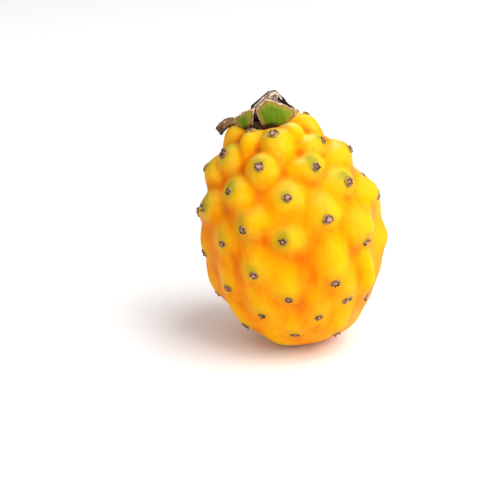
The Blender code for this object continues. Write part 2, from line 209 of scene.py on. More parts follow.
# The dried tip: its middle to the right and to the front, and its half width and depth, at six heights.
TIP_HEIGHT = np.array([0.9, 3.5, 5.9, 7.6, 9.2, 10.3]) * MM
TIP_ACROSS = np.array([0.9, 1.4, 1.2, 2.3, 3.3, 4.0]) * MM
TIP_FRONT = np.array([-0.8, -1.2, -1.8, -2.3, -2.8, -3.0]) * MM
TIP_HALF_WIDTH = np.array([8.2, 8.2, 7.2, 5.1, 3.0, 1.5]) * MM
TIP_HALF_DEPTH = np.array([6.2, 4.9, 3.5, 2.4, 1.5, 0.9]) * MM
TIP_FOLDS = 5
TIP_FOLD_DEPTH = 0.07

# Papery strands on the front of the dried tip: how far right and up they run, and their thickness, in mm. They
# are seated at this share of the tip's half depth.
TIP_SEAT = 0.92
WISPS = (
    (((2.4, 7.8), (3.6, 9.0), (5.2, 9.1), (6.6, 7.9), (7.4, 6.2)), 0.6),
    (((5.2, 9.5), (5.6, 8.5), (5.9, 7.3)), 0.45),
    (((4.7, 8.9), (5.1, 9.3), (5.4, 9.5)), 0.8),
    (((-5.7, 4.9), (-3.0, 6.5), (-0.4, 8.1), (1.4, 9.1)), 0.4),
)

# The lights: place from the middle of the fruit in metres, size in metres, power in watts.
LIGHTS = {
    "key": ((0.8, -0.4, 1.45), 1.5, 31.0),
    "fill": ((1.1, -1.25, 0.85), 1.0, 10.0),
}
WORLD_STRENGTH = 0.59
FLOOR_HALF = 3.0

# The camera: lens and sensor in mm, its angle over the ground, the picture's side in pixels, how many pixels a
# metre at the fruit takes, and where the middle of the fruit is in the picture.
LENS, SENSOR = 100.0, 36.0
ELEVATION = math.radians(20.0)
PICTURE_SIDE = 480.0
PIXELS_PER_METRE = 2325.0
FRUIT_IN_PICTURE = (291.5, 232.0)


# The fruit's own frame.


def fruit_matrix():
    """Places the fruit's own axis, which leans, over the ground."""
    lowest = math.hypot(BODY_RADIUS * math.sin(LEAN), BODY_HALF_LENGTH * math.cos(LEAN))
    centre = Vector((CENTRE_X, CENTRE_Y, lowest - FLAT_DEPTH))
    return Matrix.Translation(centre) @ Matrix.Rotation(-LEAN, 4, "Y")


def crown_matrix():
    """The frame of the crown: over the upper end of the bare body, Z along the fruit's axis."""
    return fruit_matrix() @ Matrix.Translation((0.0, 0.0, BODY_HALF_LENGTH + CROWN_LIFT))


def tubercle_places():
    """(azimuth in radians from the front, height on the axis) of every tubercle, from the crown down."""
    places = []
    for number in range(TUBERCLES):
        azimuth = FIRST_AZIMUTH_DEG + DIVERGENCE_DEG * number
        azimuth -= CROWDING_DEG * math.sin(math.radians(azimuth))
        height = FIRST_HEIGHT - HEIGHT_STEP * number
        if number in WANDERED:
            azimuth = WANDERED[number][0]
            height = WANDERED[number][1] * MM
        places.append((math.radians(azimuth), height))
    return places


def at_level(height, amounts):
    """An amount at a height, on straight lines between the levels."""
    return float(np.interp(height, LEVELS, amounts))


def given_swelling(row, areole):
    """A swelling from its row, which is in degrees and mm."""
    azimuth, *sizes, roundness = row
    return (math.radians(azimuth), *(value * MM for value in sizes), roundness, areole)


def swellings():
    """The middle (azimuth, height) of every swelling, its half width, reaches, rise, roundness and areole."""
    draw = random.Random(SEED)
    made = []
    for number, (azimuth, height) in enumerate(tubercle_places()):
        size = draw.uniform(1.0 - UNLIKE, 1.0 + UNLIKE)
        areole = on_body(azimuth, height) if height < HIGHEST_AREOLE else None
        if number in SHAPED:
            made.append(given_swelling(SHAPED[number], areole))
            continue
        middle = height - at_level(height, BELOW_AREOLE)
        shape = [at_level(height, amounts) for amounts in (HALF_WIDTH, REACH_UP, REACH_DOWN)]
        rise = size * at_level(height, RISE)
        made.append((azimuth, middle, *shape, rise, at_level(height, ROUNDNESS), areole))
    return made + [given_swelling(lobe, None) for lobe in LOBES]


def on_body(azimuth, height):
    """The point of the bare body at an azimuth and a height on its axis."""
    share = min(max(height / BODY_HALF_LENGTH, -0.999), 0.999)
    radius = BODY_RADIUS * math.sqrt(1.0 - share * share)
    return np.array([radius * math.sin(azimuth), -radius * math.cos(azimuth), share * BODY_HALF_LENGTH])


def with_shoulders(point):
    """Draws a point in towards the fruit's axis near its upper end."""
    share = min(max((point[2] - SHOULDER_FROM) / (BODY_HALF_LENGTH - SHOULDER_FROM), 0.0), 1.0)
    narrower = 1.0 - SHOULDER_TAPER * share * share * (3.0 - 2.0 * share)
    return point * np.array([narrower, narrower, 1.0])


def seat_frame(centre, azimuth):
    """(east, up, out) unit directions of the skin at a tubercle."""
    out = centre / np.array([BODY_RADIUS, BODY_RADIUS, BODY_HALF_LENGTH]) ** 2
    out = out / np.linalg.norm(out)
    east = np.array([math.cos(azimuth), math.sin(azimuth), 0.0])
    return east, np.cross(out, east), out


# Short ways to make objects and to wire nodes.


def placed(name, data):
    """An object in the scene with this mesh, light or camera."""
    holder = bpy.data.objects.new(name, data)
    bpy.context.scene.collection.objects.link(holder)
    return holder


def point_holder(name, rows, labels):
    """An object with a point for each row, which keeps the row's other columns as named vectors."""
    mesh = bpy.data.meshes.new(name)
    mesh.from_pydata([tuple(row[0]) for row in rows], [], [])
    for column, label in enumerate(labels, start=1):
        layer = mesh.attributes.new(label, "FLOAT_VECTOR", "POINT")
        vectors = np.array([tuple(row[column]) for row in rows], dtype=np.float32)
        layer.data.foreach_set("vector", vectors.ravel())
    return placed(name, mesh)


def enabled(sockets, name):
    """The one socket of that name that the node's settings leave in use."""
    return next(socket for socket in sockets if socket.name == name and socket.enabled)


class Wiring:
    """Puts nodes in a tree and joins them."""

    def __init__(self, tree):
        self.tree = tree

    def add(self, kind, inputs=None, **settings):
        """A node with its settings; each input takes a socket or a value."""
        node = self.tree.nodes.new(kind)
        for name, value in settings.items():
            setattr(node, name, value)
        for label, value in (inputs or {}).items():
            self.join(value, node.inputs[label])
        return node

    def join(self, source, socket):
        if isinstance(source, bpy.types.NodeSocket):
            self.tree.links.new(source, socket)
        elif source is not None:
            socket.default_value = source

    def maths(self, operation, *values):
        return self.add("ShaderNodeMath", dict(enumerate(values)), operation=operation).outputs[0]

    def plus(self, total, *others):
        for other in others:
            total = self.maths("ADD", total, other)
        return total

    def minus(self, a, b):
        return self.maths("SUBTRACT", a, b)

    def times(self, product, *others):
        for other in others:
            product = self.maths("MULTIPLY", product, other)
        return product

    def per(self, a, b):
        return self.maths("DIVIDE", a, b)

    def swing(self, value, reach, middle=0.5):
        """A value between 0 and 1, moved so that its middle is at zero, and scaled to the reach."""
        return self.times(self.minus(value, middle), reach)

    def vector(self, operation, *values, output="Vector"):
        return self.add("ShaderNodeVectorMath", dict(enumerate(values)), operation=operation).outputs[output]

    def scaled(self, way, scale):
        return self.add("ShaderNodeVectorMath", {0: way, "Scale": scale}, operation="SCALE").outputs["Vector"]

    def dot(self, a, b):
        return self.vector("DOT_PRODUCT", a, b, output="Value")

    def length(self, way):
        return self.vector("LENGTH", way, output="Value")

    def parts(self, value):
        return self.add("ShaderNodeSeparateXYZ", {0: value}).outputs

    def together(self, x, y, z):
        return self.add("ShaderNodeCombineXYZ", {0: x, 1: y, 2: z}).outputs[0]

    def spread(self, value, low, high, start=0.0, end=1.0, smooth=False):
        """Maps value from low..high to start..end and holds it there."""
        numbers = dict(enumerate((value, low, high, start, end)))
        kind = "SMOOTHSTEP" if smooth else "LINEAR"
        return self.add("ShaderNodeMapRange", numbers, interpolation_type=kind).outputs["Result"]

    def steps(self, value, levels, amounts):
        """Amounts given at levels, with straight lines between them."""
        total = float(amounts[0])
        for low, high, before, after in zip(levels, levels[1:], amounts, amounts[1:]):
            total = self.plus(self.spread(value, float(low), float(high), 0.0, float(after - before)), total)
        return total

    def cloud(self, place, scale, detail=3.0, roughness=0.5, distortion=0.0):
        """Soft noise between 0 and 1."""
        shape = {"Scale": scale, "Detail": detail, "Roughness": roughness, "Distortion": distortion}
        return self.add("ShaderNodeTexNoise", {"Vector": place, **shape}).outputs[0]


SOCKET_KINDS = {
    int: "NodeSocketInt",
    float: "NodeSocketFloat",
    tuple: "NodeSocketVector",
    type(None): "NodeSocketObject",
}


class GeometryWiring(Wiring):
    """A geometry tree with named inputs; an input without a value takes an object."""

    def __init__(self, name, inputs):
        super().__init__(bpy.data.node_groups.new(name, "GeometryNodeTree"))
        sockets = self.tree.interface
        for way in ("INPUT", "OUTPUT"):
            sockets.new_socket("Geometry", in_out=way, socket_type="NodeSocketGeometry")
        for label, value in inputs.items():
            socket = sockets.new_socket(label, in_out="INPUT", socket_type=SOCKET_KINDS[type(value)])
            if value is not None:
                socket.default_value = value
        self.inlet = self.add("NodeGroupInput")
        self.outlet = self.add("NodeGroupOutput")

    def given(self, label):
        return self.inlet.outputs[label]

    def mesh_of(self, label):
        """The mesh of the object that an input takes."""
        inputs = {"Object": self.given(label)}
        return self.add("GeometryNodeObjectInfo", inputs, transform_space="ORIGINAL").outputs["Geometry"]

    def here(self):
        return self.add("GeometryNodeInputPosition").outputs[0]

    def normal(self):
        return self.add("GeometryNodeInputNormal").outputs[0]

    def through(self, kind, geometry, **inputs):
        """A node that changes the geometry."""
        return self.add(kind, {0: geometry, **inputs}).outputs[0]

    def keep(self, geometry, name, value):
        """Stores a named number on every point."""
        inputs = {"Geometry": geometry, "Name": name}
        node = self.add("GeometryNodeStoreNamedAttribute", inputs, data_type="FLOAT", domain="POINT")
        self.join(value, enabled(node.inputs, "Value"))
        return node.outputs[0]

    def kept(self, name, kind="FLOAT"):
        """Reads a named number or vector."""
        node = self.add("GeometryNodeInputNamedAttribute", {"Name": name}, data_type=kind)
        return enabled(node.outputs, "Attribute")

    def sampled(self, geometry, value, index):
        """A vector of the point with this index on another geometry."""
        inputs = {"Geometry": geometry, "Index": index}
        node = self.add("GeometryNodeSampleIndex", inputs, data_type="FLOAT_VECTOR", domain="POINT")
        self.join(value, enabled(node.inputs, "Value"))
        return enabled(node.outputs, "Value")

    def choose(self, condition, when_false, when_true):
        inputs = {"Switch": condition, "False": when_false, "True": when_true}
        return self.add("GeometryNodeSwitch", inputs, input_type="FLOAT").outputs[0]

    def over(self, a, b):
        inputs = {0: a, 1: b}
        return self.add("FunctionNodeCompare", inputs, data_type="FLOAT", operation="GREATER_THAN").outputs[0]

    def chance(self, low, high, seed, whole=False):
        """A random number for each point, whole or not."""
        first, result = (4, 2) if whole else (2, 1)
        inputs = {first: low, first + 1: high, "Seed": seed}
        return self.add("FunctionNodeRandomValue", inputs, data_type="INT" if whole else "FLOAT").outputs[result]

    def facing(self, primary, secondary):
        """A turn that brings Z to the primary and Y to the secondary direction."""
        inputs = {0: primary, 1: secondary}
        return self.add("FunctionNodeAxesToRotation", inputs, primary_axis="Z", secondary_axis="Y").outputs[0]

    def scattered(self, points, piece, turn, scale):
        """The piece at each of the points."""
        inputs = {"Points": points, "Instance": piece, "Rotation": turn, "Scale": scale}
        return self.add("GeometryNodeInstanceOnPoints", inputs).outputs[0]

    def finish(self, geometry, material):
        """Realizes what is instanced and gives it its material."""
        whole = self.through("GeometryNodeRealizeInstances", geometry)
        self.join(self.through("GeometryNodeSetMaterial", whole, Material=material), self.outlet.inputs[0])


def grown(name, wiring, helpers):
    """Runs a geometry tree and returns its result as a plain mesh object."""
    holder = placed(name, bpy.data.meshes.new(name))
    modifier = holder.modifiers.new("growth", "NODES")
    modifier.node_group = wiring.tree
    for item in wiring.tree.interface.items_tree:
        if item.name in helpers:
            modifier[item.identifier] = helpers[item.name]
    holder.update_tag()
    evaluated = holder.evaluated_get(bpy.context.evaluated_depsgraph_get())
    result = bpy.data.meshes.new_from_object(evaluated)
    holder.modifiers.clear()
    holder.data = result
    result.name = name
    return holder


# The skin.

SEAT_VECTORS = ("east", "up", "out", "reach", "swell", "areole")
# A swelling without an areole has it this many times as far out as its seat, where its halo reaches nothing.
NO_AREOLE = 4.0


def make_seats():
    """A point on the bare body for each swelling, with its directions, its shape and its areole."""
    rows = []
    for azimuth, height, half_width, up_reach, down_reach, rise, roundness, areole in swellings():
        centre = on_body(azimuth, height)
        east, up, out = seat_frame(centre, azimuth)
        reach, swell = (half_width, up_reach, down_reach), (roundness, rise, 0.0)
        areole = centre * NO_AREOLE if areole is None else areole
        rows.append((centre, east, up, out, reach, swell, areole))
    return point_holder("tubercle_seats", rows, SEAT_VECTORS)


def skin_growth(material, sizes):
    """The tree that grows the skin: a ball of even cells, drawn out to the body and raised at every seat."""
    w = GeometryWiring("Skin growth", sizes)
    seats = w.mesh_of("Seats")
    around = w.plus(w.given("Cells"), 1)
    cells = {f"Vertices {axis}": around for axis in "XYZ"}
    ball = w.add("GeometryNodeMeshCube", {"Size": (2.0, 2.0, 2.0), **cells})
    place = w.here()
    x, y, z = w.parts(place)
    even = w.vector("NORMALIZE", w.vector("TANGENT", w.scaled(place, math.pi / 4.0)))
    radius, half_length = w.given("Body radius"), w.given("Body half length")
    extents = w.together(radius, radius, half_length)
    bare = w.vector("MULTIPLY", even, extents)
    geometry = w.through("GeometryNodeSetPosition", ball.outputs["Mesh"], Position=bare)
    geometry = w.keep(geometry, "sharpness", w.steps(z, LEVELS, SHARPNESS))
    geometry = w.keep(geometry, "total", 0.0)
    geometry = w.keep(geometry, "from_areole", 1.0)

    # Once for each seat: its mound is added up, and the distance to the nearest areole is kept.
    begin, end = w.add("GeometryNodeRepeatInput"), w.add("GeometryNodeRepeatOutput")
    begin.pair_with_output(end)
    w.join(w.given("Swellings"), begin.inputs["Iterations"])
    w.join(geometry, begin.inputs["Geometry"])
    number, inside = begin.outputs["Iteration"], begin.outputs["Geometry"]
    centre = w.sampled(seats, w.here(), number)
    east, up, out, reach, swell, areole = (
        w.sampled(seats, w.kept(name, "FLOAT_VECTOR"), number) for name in SEAT_VECTORS
    )
    offset = w.vector("SUBTRACT", place, centre)
    across, along, depth = (w.dot(offset, way) for way in (east, up, out))
    half_width, reach_up, reach_down = w.parts(reach)
    roundness, rise, _ = w.parts(swell)
    reach_along = w.choose(w.over(along, 0.0), reach_down, reach_up)
    inwards = w.per(depth, w.given("Root reach"))
    stretched = w.together(w.per(across, half_width), w.per(along, reach_along), inwards)
    fall = w.maths("POWER", w.length(stretched), roundness)
    mound = w.times(rise, w.maths("EXPONENT", w.times(fall, -1.0)))
    raised = w.maths("POWER", w.per(mound, MM), w.kept("sharpness"))
    inside = w.keep(inside, "total", w.plus(w.kept("total"), raised))
    from_areole = w.vector("SUBTRACT", place, areole)
    beside, above, behind = (w.dot(from_areole, way) for way in (east, up, out))
    lifted = w.times(w.minus(above, w.given("Halo lift")), w.given("Halo squeeze"))
    away = w.length(w.together(beside, lifted, w.times(behind, w.given("Halo depth"))))
    inside = w.keep(inside, "from_areole", w.maths("MINIMUM", w.kept("from_areole"), away))
    w.join(inside, end.inputs["Geometry"])

    # The rise of the skin: mounds, a slow wobble, and the hollows at both ends.
    mounds = w.times(w.maths("POWER", w.kept("total"), w.per(1.0, w.kept("sharpness"))), MM)
    waves = w.scaled(place, w.per(1.0, w.given("Wobble length")))
    sway = w.plus(
        *(
            w.maths("SINE", w.plus(w.dot(waves, way), start))
            for way, start in (((1.3, 0.0, 1.0), 0.0), ((0.0, 1.1, -0.7), 1.0), ((0.6, -0.8, 1.6), 0.0))
        )
    )
    total = w.plus(mounds, w.times(sway, w.given("Wobble")))
    upper = w.over(z, 0.0)
    from_crown = w.length(w.together(w.minus(x, w.given("Crown pit shift")), y, 0.0))
    pit_radius = w.given("Crown pit radius")
    pit = w.spread(from_crown, w.times(pit_radius, 0.6), pit_radius, 1.0, 0.0, smooth=True)
    pit = w.choose(upper, 0.0, pit)
    from_axis, scar_radius = w.length(w.together(x, y, 0.0)), w.given("Stem scar radius")
    scar = w.spread(from_axis, w.times(scar_radius, 0.5), scar_radius, 1.0, 0.0, smooth=True)
    scar = w.choose(upper, scar, 0.0)
    for mark, depth_of in ((pit, "Crown pit depth"), (scar, "Stem scar depth")):
        total = w.times(total, w.minus(1.0, mark))
        total = w.minus(total, w.times(mark, w.given(depth_of)))

    # What the paint needs: how hollow the skin is, how high on the body, and how far it faces the crown.
    geometry = w.keep(end.outputs["Geometry"], "scar", w.maths("MAXIMUM", scar, pit))
    smoothing = {0: mounds, "Iterations": w.given("Blur rounds")}
    around_here = w.add("GeometryNodeBlurAttribute", smoothing, data_type="FLOAT").outputs[0]
    geometry = w.keep(geometry, "hollow", w.per(w.minus(around_here, mounds), MM))
    geometry = w.keep(geometry, "level", w.per(z, half_length))
    pucker = w.cloud(w.vector("MULTIPLY", place, (1.0, 1.0, 0.45)), 330.0, 2.5)
    total = w.plus(total, w.swing(pucker, w.given("Pucker"), PUCKER_MIDDLE))
    normal = w.vector("NORMALIZE", w.vector("DIVIDE", w.vector("DIVIDE", place, extents), extents))
    skin_place = w.vector("ADD", place, w.scaled(normal, total))
    geometry = w.through("GeometryNodeSetPosition", geometry, Position=skin_place)
    drawn = w.spread(z, w.given("Shoulder from"), half_length, 0.0, 1.0, smooth=True)
    narrower = w.minus(1.0, w.times(drawn, w.given("Shoulder taper")))
    shoulders = w.vector("MULTIPLY", place, w.together(narrower, narrower, 1.0))
    geometry = w.through("GeometryNodeSetPosition", geometry, Position=shoulders)
    facing = w.dot(w.normal(), (0.0, 0.0, 1.0))
    geometry = w.keep(geometry, "slope", w.minus(facing, w.parts(normal)[2]))

    # The lean, and the flat spot on the ground.
    stand = {"Translation": w.given("Centre"), "Rotation": w.given("Turn")}
    geometry = w.through("GeometryNodeTransform", geometry, **stand)
    rest = w.vector("MAXIMUM", place, (-1.0, -1.0, 0.0))
    geometry = w.through("GeometryNodeSetPosition", geometry, Position=rest)
    w.finish(w.through("GeometryNodeSetShadeSmooth", geometry), material)
    return w


def grow_skin(material, seats):
    """The skin with the sizes of this fruit."""
    sizes = {
        "Seats": None,
        "Swellings": TUBERCLES + len(LOBES),
        "Cells": SKIN_CELLS,
        "Body radius": BODY_RADIUS,
        "Body half length": BODY_HALF_LENGTH,
        "Root reach": ROOT_REACH,
        "Wobble": WOBBLE,
        "Wobble length": WOBBLE_LENGTH,
        "Shoulder from": SHOULDER_FROM,
        "Shoulder taper": SHOULDER_TAPER,
        "Crown pit radius": CROWN_PIT_RADIUS,
        "Crown pit depth": CROWN_PIT_DEPTH,
        "Crown pit shift": DISC_SHIFT,
        "Stem scar radius": STEM_SCAR_RADIUS,
        "Stem scar depth": STEM_SCAR_DEPTH,
        "Pucker": 0.3 * MM,
        "Blur rounds": 90,
        "Halo lift": 1.2 * MM,
        "Halo squeeze": 0.85,
        "Halo depth": 0.3,
        "Turn": (0.0, -LEAN, 0.0),
        "Centre": tuple(fruit_matrix().translation),
    }
    skin = grown("skin", skin_growth(material, sizes), {"Seats": seats})
    for name in ("sharpness", "total"):
        skin.data.attributes.remove(skin.data.attributes[name])
    return skin


# The areoles.


def areole_points(skin):
    """A point for each areole on the skin, with the directions up along the skin and out of it."""
    corners = [vertex.co for vertex in skin.data.vertices]
    skin_tree = BVHTree.FromPolygons(corners, [face.vertices for face in skin.data.polygons])
    matrix = fruit_matrix()
    turn = matrix.to_3x3()
    rows = []
    for azimuth, height in tubercle_places():
        if not LOWEST_AREOLE < height < HIGHEST_AREOLE:
            continue
        centre = on_body(azimuth, height)
        _, up, out = seat_frame(centre, azimuth)
        raised = with_shoulders(centre + out * AREOLE_RISE)
        up, out = turn @ Vector(up), turn @ Vector(out)
        place = skin_tree.ray_cast(matrix @ Vector(raised) + out * RAY_START, -out)[0]
        slope = Vector()
        for _, normal, _, _ in skin_tree.find_nearest_range(place, SLOPE_REACH):
            slope += normal
        rows.append((place, up, slope.normalized()))
    return point_holder("areole_points", rows, ("up", "out"))


def cushion_growth(material):
    """Small felted cushions, each one lumpy in its own way, sunk a little in the skin."""
    sizes = {"Points": None, "Radius": 1.9 * MM, "Height share": 0.33, "Lumps": 2.2 * MM, "Seed": 3}
    w = GeometryWiring("Cushion growth", sizes)
    radius, seed = w.given("Radius"), w.given("Seed")
    ball = w.add("GeometryNodeMeshIcoSphere", {"Radius": radius, "Subdivisions": 4})
    at_x, at_y, _ = w.parts(w.here())
    from_middle = w.per(w.length(w.together(at_x, at_y, 0.0)), radius)
    cushion = w.keep(ball.outputs["Mesh"], "from_middle", from_middle)
    turn = w.facing(w.kept("out", "FLOAT_VECTOR"), w.kept("up", "FLOAT_VECTOR"))
    size, long = w.chance(0.8, 1.2, seed), w.chance(0.8, 1.15, w.plus(seed, 1))
    scale = w.together(size, w.times(size, long), w.times(size, w.given("Height share")))
    geometry = w.scattered(w.mesh_of("Points"), cushion, turn, scale)
    geometry = w.through("GeometryNodeRealizeInstances", geometry)
    rise = w.swing(w.cloud(w.here(), 900.0), w.given("Lumps"))
    geometry = w.through("GeometryNodeSetPosition", geometry, Offset=w.scaled(w.normal(), rise))
    w.finish(w.through("GeometryNodeSetShadeSmooth", geometry), material)
    return w


def stub_growth(material):
    """Cut spine stubs that stand round the middle of every areole and lean outwards."""
    sizes = {
        "Points": None,
        "Least": 4,
        "Most": 8,
        "Ring radius": 1.15 * MM,
        "Stub radius": 0.3 * MM,
        "Stub length": 0.9 * MM,
        "Splay": 0.85,
        "Seed": 7,
    }
    w = GeometryWiring("Stub growth", sizes)
    seed, radius = w.given("Seed"), w.given("Stub radius")
    points = w.through("GeometryNodeMeshToPoints", w.mesh_of("Points"))
    amount = w.chance(w.given("Least"), w.given("Most"), seed, whole=True)
    many = w.add("GeometryNodeDuplicateElements", {"Geometry": points, "Amount": amount}, domain="POINT")
    up, out = w.kept("up", "FLOAT_VECTOR"), w.kept("out", "FLOAT_VECTOR")
    east = w.vector("CROSS_PRODUCT", up, out)
    turn = w.times(many.outputs["Duplicate Index"], 2.0 * math.pi / STUBS_PER_TURN)
    turn = w.plus(turn, w.chance(-0.6, 0.6, w.plus(seed, 1)))
    away = w.times(w.given("Ring radius"), w.chance(0.55, 1.3, w.plus(seed, 2)))
    side = w.vector("ADD", w.scaled(east, w.maths("COSINE", turn)), w.scaled(up, w.maths("SINE", turn)))
    geometry = w.through("GeometryNodeSetPosition", many.outputs[0], Offset=w.scaled(side, away))
    radii = {"Radius Bottom": radius, "Radius Top": w.times(radius, 0.7)}
    shape = {"Vertices": 7, "Side Segments": 2, **radii, "Depth": w.given("Stub length")}
    stub = w.add("GeometryNodeMeshCone", shape).outputs["Mesh"]
    lean = w.times(w.given("Splay"), w.chance(0.2, 1.0, w.plus(seed, 3)))
    stand = w.facing(w.vector("ADD", out, w.scaled(side, lean)), up)
    size = w.chance(0.7, 1.1, w.plus(seed, 4))
    scale = w.together(size, size, w.times(size, size))
    w.finish(w.scattered(geometry, stub, stand, scale), material)
    return w


# The crown.


def along_line(places, share):
    """A point at a share from 0 to 1 along a line of places in mm."""
    table = np.array(places, dtype=float) * MM * np.array([1.0, -1.0, 1.0])
    steps = np.linspace(0.0, 1.0, len(table))
    return np.array([np.interp(share, steps, table[:, axis]) for axis in range(3)])


def scale_point(scale, across, along):
    """A point of a scale's middle sheet: across it from 0 to 1, along it from 0 at the foot to 1 at the rim."""
    foot, rim, bulge = scale
    start, end = along_line(foot, across), along_line(rim, across)
    upright = abs(end[2] - start[2]) / np.linalg.norm(end - start)
    point = start + (end - start) * along
    outwards = np.array([point[0], point[1], 0.0])
    outwards /= np.linalg.norm(outwards)
    height = np.array([0.0, 0.0, 1.0])
    swell = bulge * MM * 4.0 * along * (1.0 - along)
    return point + swell * (outwards * upright + height * (1.0 - upright))


def scale_sheet(body, scale, seed, torn):
    """Adds a closed sheet with an uneven rim and stores on its points where they are on it."""
    wide, high = SCALE_CELLS
    place_layer = body.verts.layers.float_vector["leaf_place"]
    grid = np.zeros((wide + 1, high + 1, 3))
    for i in range(wide + 1):
        across = i / wide
        tear = noise.fractal(Vector((across * 7.0, seed, 0.0)), 0.8, 2.1, 4) * torn
        for j in range(high + 1):
            along = j / high
            point = scale_point(scale, across, min(1.0, along * (1.0 - max(tear, 0.0) * 0.9)))
            wave = noise.fractal(Vector(point) * 260.0 + Vector((seed, 0.0, 0.0)), 0.9, 2.0, 3)
            grid[i, j] = point + np.array([0.0, 0.0, SCALE_WAVE]) * wave
    normal = np.cross(np.gradient(grid, axis=0), np.gradient(grid, axis=1))
    normal /= np.linalg.norm(normal, axis=2, keepdims=True)
    # Lengths of the lines along the sheet and across it, for the distance to the nearest free edge.
    length = np.linalg.norm(np.diff(grid, axis=1), axis=2).sum(axis=1)
    width = np.linalg.norm(np.diff(grid, axis=0), axis=2).sum(axis=0)
    upper, lower = {}, {}
    for points, way in ((upper, 1.0), (lower, -1.0)):
        for i in range(wide + 1):
            for j in range(high + 1):
                across, along = i / wide, j / high
                edge = min((1.0 - along) * length[i], across * width[j], (1.0 - across) * width[j])
                bead = SCALE_THICKNESS * (0.36 + 0.14 * math.exp(-((edge / BEAD_REACH) ** 2)))
                ripple = noise.fractal(Vector(grid[i, j]) * 700.0, 0.9, 2.0, 3) * SCALE_RIPPLE
                point = body.verts.new(grid[i, j] + normal[i, j] * way * (bead + ripple))
                point[place_layer] = (across, along, edge / EDGE_UNIT)
                points[i, j] = point
    for i in range(wide):
        for j in range(high):
            body.faces.new((upper[i, j], upper[i + 1, j], upper[i + 1, j + 1], upper[i, j + 1]))
            body.faces.new((lower[i, j], lower[i, j + 1], lower[i + 1, j + 1], lower[i + 1, j]))
    ring = [(i, 0) for i in range(wide)] + [(wide, j) for j in range(high)]
    ring += [(i, high) for i in range(wide, 0, -1)] + [(0, j) for j in range(high, 0, -1)]
    for here, after in zip(ring, ring[1:] + ring[:1]):
        body.faces.new((upper[here], lower[here], lower[after], upper[after]))


def mesh_object(name, body, material):
    """Makes an object of a mesh in the crown's frame."""
    body.transform(crown_matrix())
    bmesh.ops.recalc_face_normals(body, faces=body.faces[:])
    for face in body.faces:
        face.smooth = True
    mesh = bpy.data.meshes.new(name)
    body.to_mesh(mesh)
    body.free()
    mesh.materials.append(material)
    return placed(name, mesh)


def make_scales(name, chosen, material, torn, seed):
    """The chosen scales as one object."""
    body = bmesh.new()
    body.verts.layers.float_vector.new("leaf_place")
    for number, label in enumerate(chosen):
        scale_sheet(body, SCALES[label], seed + 10.0 * number, torn)
    return mesh_object(name, body, material)


def turns(sides):
    """The angles of evenly spaced sides."""
    return [2.0 * math.pi * side / sides for side in range(sides)]


def join_rings(body, rings):
    """Adds the faces between each ring of points and the next."""
    for lower, upper in zip(rings, rings[1:]):
        for side in range(len(lower)):
            after = (side + 1) % len(lower)
            body.faces.new((lower[side], lower[after], upper[after], upper[side]))


def make_disc(material):
    """The rough round foot under the scales."""
    body = bmesh.new()
    levels, sides, brim = 14, 72, 0.62
    rings = []
    for step in range(levels):
        share = step / (levels - 1)
        radius_share = min(1.0, share * 1.6) if step else 0.02
        fall = max(0.0, share - brim) / (1.0 - brim)
        ring = []
        for angle in turns(sides):
            way = Vector((math.cos(angle), math.sin(angle), 0.0))
            rough = noise.fractal(way * 3.0 + Vector((0.0, 0.0, radius_share * 4.0)), 0.8, 2.0, 4)
            radius = DISC_RADIUS * radius_share * (0.95 + 0.04 * rough)
            height = DISC_TOP - 0.5 * MM + 0.4 * MM * rough - fall * (DISC_TOP - DISC_BOTTOM)
            ring.append(body.verts.new((DISC_SHIFT + radius * way.x, radius * way.y, height)))
        rings.append(ring)
    join_rings(body, rings)
    body.faces.new(rings[0])
    body.faces.new(rings[-1][::-1])
    return mesh_object("crown_foot", body, material)


def tip_at(height):
    """The middle of the dried tip to the right and to the front, its half width and its half depth."""
    profile = (TIP_ACROSS, TIP_FRONT, TIP_HALF_WIDTH, TIP_HALF_DEPTH)
    return [float(np.interp(height, TIP_HEIGHT, amounts)) for amounts in profile]


def make_tip(material):
    """The dried tip: many-folded oval rings that narrow to a ridge."""
    body = bmesh.new()
    fold_layer = body.verts.layers.float_vector.new("fold_place")
    levels, sides = 60, 220
    rings = []
    for level in range(levels + 1):
        height = TIP_HEIGHT[0] + (TIP_HEIGHT[-1] - TIP_HEIGHT[0]) * level / levels
        across, front, half_width, half_depth = tip_at(height)
        share = height / TIP_HEIGHT[-1]
        ring = []
        for angle in turns(sides):
            way = Vector((math.cos(angle), math.sin(angle), 0.0))
            broad = TIP_FOLD_DEPTH * math.sin(TIP_FOLDS * angle + 3.0 * share)
            twist = noise.noise(way * 1.4 + Vector((0.0, 0.0, share * 2.2)))
            crease = abs(math.sin(8.5 * angle + 4.0 * twist + 1.2 * share))
            fibre = noise.fractal(way * 9.0 + Vector((0.0, 0.0, share * 1.5)), 0.8, 2.1, 4)
            fold = 1.0 + 0.6 * broad - 0.16 * (1.0 - crease) ** 2 + 0.05 * fibre - 0.02
            point = Vector((across + half_width * fold * way.x, -front + half_depth * fold * way.y, height))
            ragged = noise.fractal(way * 3.3 + Vector((5.0, 0.0, 0.0)), 0.9, 2.0, 4)
            point.z -= max(0.0, share - 0.55) * (1.2 * MM * (1.0 - crease) + 1.0 * MM * max(0.0, ragged))
            vertex = body.verts.new(point)
            vertex[fold_layer] = (crease, share, abs(way.x))
            ring.append(vertex)
        rings.append(ring)
    join_rings(body, rings)
    for ring, sunk, share in ((rings[0], 0.0, 0.0), (rings[-1], 0.6 * MM, 1.0)):
        middle = sum((vertex.co for vertex in ring), Vector()) / sides
        hub = body.verts.new(middle - Vector((0.0, 0.0, sunk)))
        hub[fold_layer] = (0.0, share, 0.0)
        for side in range(sides):
            body.faces.new((ring[side], ring[(side + 1) % sides], hub))
    return mesh_object("dried_tip_folds", body, material)


